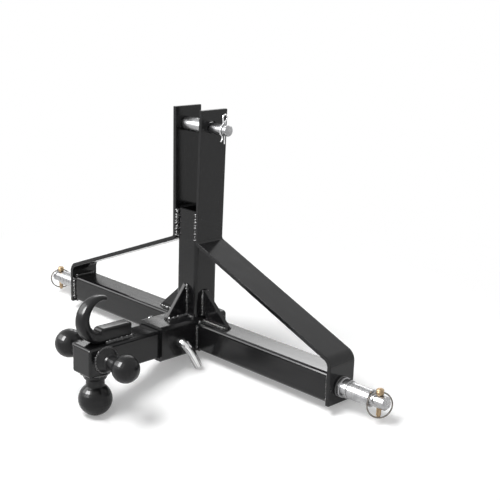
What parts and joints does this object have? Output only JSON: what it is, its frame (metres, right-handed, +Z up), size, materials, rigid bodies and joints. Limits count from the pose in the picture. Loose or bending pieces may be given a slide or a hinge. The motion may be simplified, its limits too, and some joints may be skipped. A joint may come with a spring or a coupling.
{
  "type": "three point receiver hitch",
  "caption": "Tractor drawbar frame with a braced mast, lower link pins, a square receiver and a ball mount with tow hook, hitch pin, sleeves and linch pins.",
  "frame": {"origin": "middle of the lower link pins' common axis, at the crossbar's centre", "axes": "+X along the crossbar to the right when facing the receiver's mouth, -Y out of the receiver's mouth towards the ball mount, +Z up the mast"},
  "size_m": [0.888, 0.3074, 0.5099],
  "materials": {
    "black_paint": "gloss powder coat",
    "black_ball_coat": "gloss black over turned steel",
    "zinc_plate": "bright zinc plate",
    "yellow_zinc": "yellow zinc plate",
    "spring_steel": "dark spring steel"
  },
  "bodies": {
    "frame": {"receiver_tube": "black_paint", "crossbar_left": "black_paint", "crossbar_right": "black_paint", "mast_tube": "black_paint", "side_strap_left": "black_paint", "side_strap_right": "black_paint", "gusset_front": "black_paint", "gusset_left": "black_paint", "gusset_right": "black_paint", "ball_mount_shank": "black_paint", "tow_hook": "black_paint", "ball_bottom": "black_ball_coat", "ball_left": "black_ball_coat", "ball_right": "black_ball_coat", "lower_pin_left": "zinc_plate", "lower_pin_right": "zinc_plate"},
    "hitch_pin_body": {"hitch_pin": "zinc_plate", "hitch_pin_clip": "zinc_plate"},
    "top_link_pin_body": {"top_link_pin": "zinc_plate", "top_pin_clip": "zinc_plate"},
    "top_link_bushing_body": {"top_link_bushing": "zinc_plate"},
    "lower_bushing_right_body": {"lower_bushing_right": "zinc_plate"},
    "lower_bushing_left_body": {"lower_bushing_left": "zinc_plate"},
    "linch_pin_right_body": {"linch_pin_right": "yellow_zinc"},
    "linch_pin_left_body": {"linch_pin_left": "yellow_zinc"},
    "linch_ring_right_body": {"linch_ring_right": "spring_steel"},
    "linch_ring_left_body": {"linch_ring_left": "spring_steel"}
  },
  "joints": [
    {"name": "hitch_pin_turn", "type": "hinge", "parent": "frame", "child": "hitch_pin_body", "pos_m": [0, -0.0705, 0.0025], "axis": [1, 0, 0], "range_deg": [-258, 16]},
    {"name": "top_link_pin_turn", "type": "hinge", "parent": "frame", "child": "top_link_pin_body", "pos_m": [0, -0.005, 0.3767], "axis": [1, 0, 0], "continuous": true},
    {"name": "top_link_bushing_turn", "type": "hinge", "parent": "top_link_pin_body", "child": "top_link_bushing_body", "pos_m": [0, -0.005, 0.3767], "axis": [1, 0, 0], "continuous": true},
    {"name": "lower_bushing_right_turn", "type": "hinge", "parent": "frame", "child": "lower_bushing_right_body", "pos_m": [0.392, 0, 0], "axis": [1, 0, 0], "continuous": true},
    {"name": "lower_bushing_left_turn", "type": "hinge", "parent": "frame", "child": "lower_bushing_left_body", "pos_m": [-0.392, 0, 0], "axis": [1, 0, 0], "continuous": true},
    {"name": "linch_pin_right_turn", "type": "hinge", "parent": "frame", "child": "linch_pin_right_body", "pos_m": [0.427, 0, 0], "axis": [0, 0, 1], "range_deg": [-6, 72]},
    {"name": "linch_pin_left_turn", "type": "hinge", "parent": "frame", "child": "linch_pin_left_body", "pos_m": [-0.427, 0, 0], "axis": [0, 0, 1], "range_deg": [-6, 72]},
    {"name": "linch_ring_right_flip", "type": "hinge", "parent": "linch_pin_right_body", "child": "linch_ring_right_body", "pos_m": [0.427, 0, 0.0141], "axis": [-0.5736, -0.8192, 0], "range_deg": [0, 156]},
    {"name": "linch_ring_left_flip", "type": "hinge", "parent": "linch_pin_left_body", "child": "linch_ring_left_body", "pos_m": [-0.427, 0, 0.0141], "axis": [0.5736, 0.8192, 0], "range_deg": [0, 156]}
  ]
}
